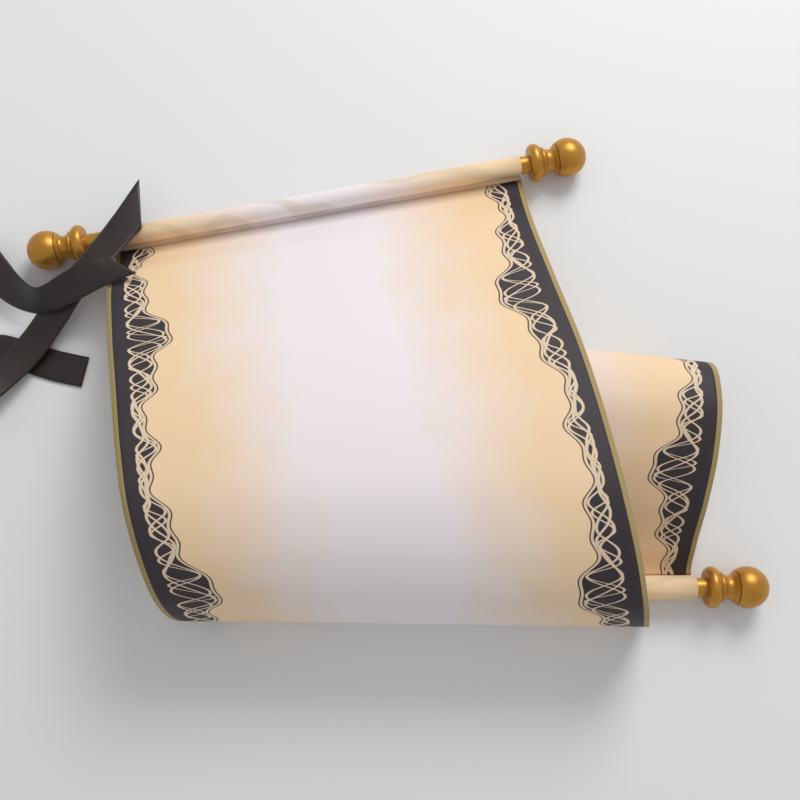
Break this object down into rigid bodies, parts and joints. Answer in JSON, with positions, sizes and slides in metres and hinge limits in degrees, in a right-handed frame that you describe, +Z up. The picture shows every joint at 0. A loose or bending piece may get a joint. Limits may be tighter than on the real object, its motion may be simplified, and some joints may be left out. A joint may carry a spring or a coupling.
{
  "type": "paper scroll",
  "caption": "Half-unrolled decorative paper scroll on gold-ended wooden rods, with a printed border and a dark satin ribbon.",
  "frame": {"origin": "on the underside of the sheet where it lies flat on the table", "axes": "+X along the lower rod, +Y towards the upper rod, +Z up"},
  "size_m": [0.4059, 0.251, 0.0731],
  "materials": {
    "paper": "matte",
    "gold_painted_wood": "satin",
    "satin_ribbon": "satin"
  },
  "bodies": {
    "root": {"paper_sheet": "paper", "upper_dowel": "gold_painted_wood", "lower_dowel": "gold_painted_wood", "upper_left_finial": "gold_painted_wood", "upper_right_finial": "gold_painted_wood", "lower_left_finial": "gold_painted_wood", "lower_right_finial": "gold_painted_wood", "ribbon": "satin_ribbon", "ribbon_tail": "satin_ribbon"}
  },
  "joints": []
}
